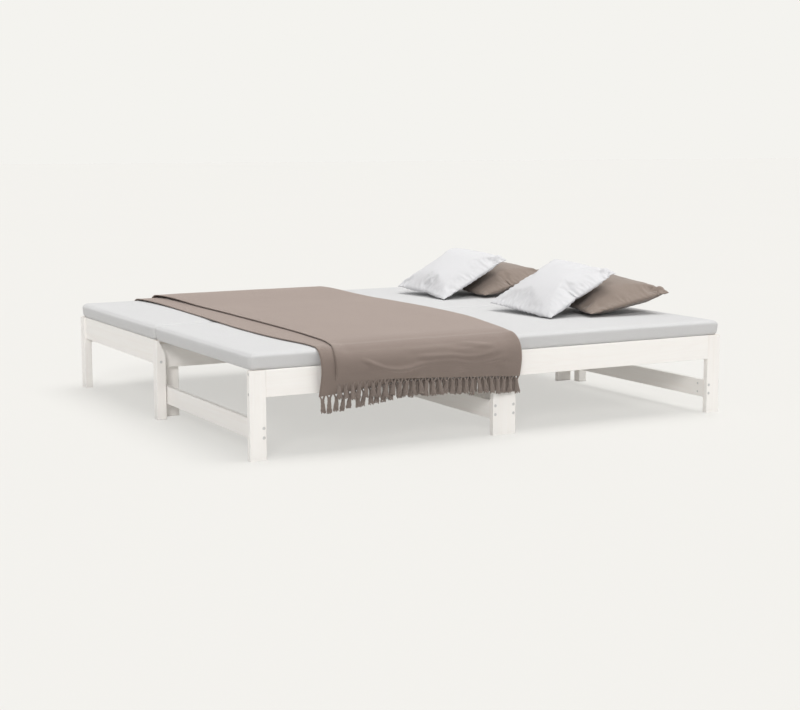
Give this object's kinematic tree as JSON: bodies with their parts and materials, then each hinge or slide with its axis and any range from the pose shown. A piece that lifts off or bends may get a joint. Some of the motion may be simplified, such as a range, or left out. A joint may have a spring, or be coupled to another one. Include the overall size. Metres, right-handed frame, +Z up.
{
  "type": "pull-out bed",
  "caption": "Low pine day bed whose front half pulls out on interleaved slats to double its width, with foam pads, a folded throw and scatter cushions.",
  "frame": {"origin": "on the floor under the middle of the drawn-out bed", "axes": "+X along the bed to the cushion end, +Y from the pull-out front to the back, +Z up"},
  "size_m": [2, 1.8574, 0.5646],
  "materials": {
    "white_pine": "white wash, satin",
    "bolt_steel": "dull zinc",
    "pad_cover": "matte woven cover",
    "taupe_throw": "matte wool",
    "white_cushion": "matte cotton",
    "taupe_cushion": "matte cotton"
  },
  "bodies": {
    "fixed_frame": {"fixed_post_left": "white_pine", "fixed_post_middle": "white_pine", "fixed_post_right": "white_pine", "end_rail_left": "white_pine", "end_rail_right": "white_pine", "fixed_front_rail": "white_pine", "back_leg_left": "white_pine", "back_leg_middle": "white_pine", "back_leg_right": "white_pine", "back_rail_left": "white_pine", "back_rail_right": "white_pine", "fixed_slat_1": "white_pine", "fixed_slat_2": "white_pine", "fixed_slat_3": "white_pine", "fixed_slat_4": "white_pine", "fixed_slat_5": "white_pine", "fixed_slat_6": "white_pine", "fixed_slat_7": "white_pine", "fixed_slat_8": "white_pine", "fixed_slat_9": "white_pine", "fixed_bolts": "bolt_steel", "fixed_barrel_nuts": "bolt_steel", "mattress_back": "pad_cover", "mattress_front": "pad_cover", "throw": "taupe_throw"},
    "pull_out": {"front_leg_left": "white_pine", "front_leg_middle": "white_pine", "front_leg_right": "white_pine", "front_rail_left": "white_pine", "front_rail_right": "white_pine", "front_slat_cleat": "white_pine", "rear_leg_left": "white_pine", "rear_leg_middle": "white_pine", "rear_leg_right": "white_pine", "rear_rail_left": "white_pine", "rear_rail_right": "white_pine", "stretcher_left": "white_pine", "stretcher_middle_left": "white_pine", "stretcher_middle_right": "white_pine", "stretcher_right": "white_pine", "pull_out_slat_1": "white_pine", "pull_out_slat_2": "white_pine", "pull_out_slat_3": "white_pine", "pull_out_slat_4": "white_pine", "pull_out_slat_5": "white_pine", "pull_out_slat_6": "white_pine", "pull_out_slat_7": "white_pine", "pull_out_slat_8": "white_pine", "pull_out_bolts": "bolt_steel", "pull_out_barrel_nuts": "bolt_steel", "throw_fringe_front": "taupe_throw"},
    "near_cushions": {"cushion_near_taupe": "taupe_cushion", "cushion_near_white": "white_cushion"},
    "far_cushions": {"cushion_far_taupe": "taupe_cushion", "cushion_far_white": "white_cushion"}
  },
  "joints": [
    {"name": "pull_out_slide", "type": "slide", "parent": "fixed_frame", "child": "pull_out", "axis": [0, 1, 0], "range_m": [0, 0.83], "deforming": ["mattress_front", "throw"]},
    {"name": "near_cushion_slide", "type": "slide", "parent": "fixed_frame", "child": "near_cushions", "axis": [0, 1, 0], "range_m": [0, 0.6225]},
    {"name": "far_cushion_slide", "type": "slide", "parent": "fixed_frame", "child": "far_cushions", "axis": [0, 1, 0], "range_m": [0, 0.2656]}
  ],
  "couplings": [
    {"joint": "near_cushion_slide", "follows": "pull_out_slide", "ratio": 0.75},
    {"joint": "far_cushion_slide", "follows": "pull_out_slide", "ratio": 0.32}
  ]
}
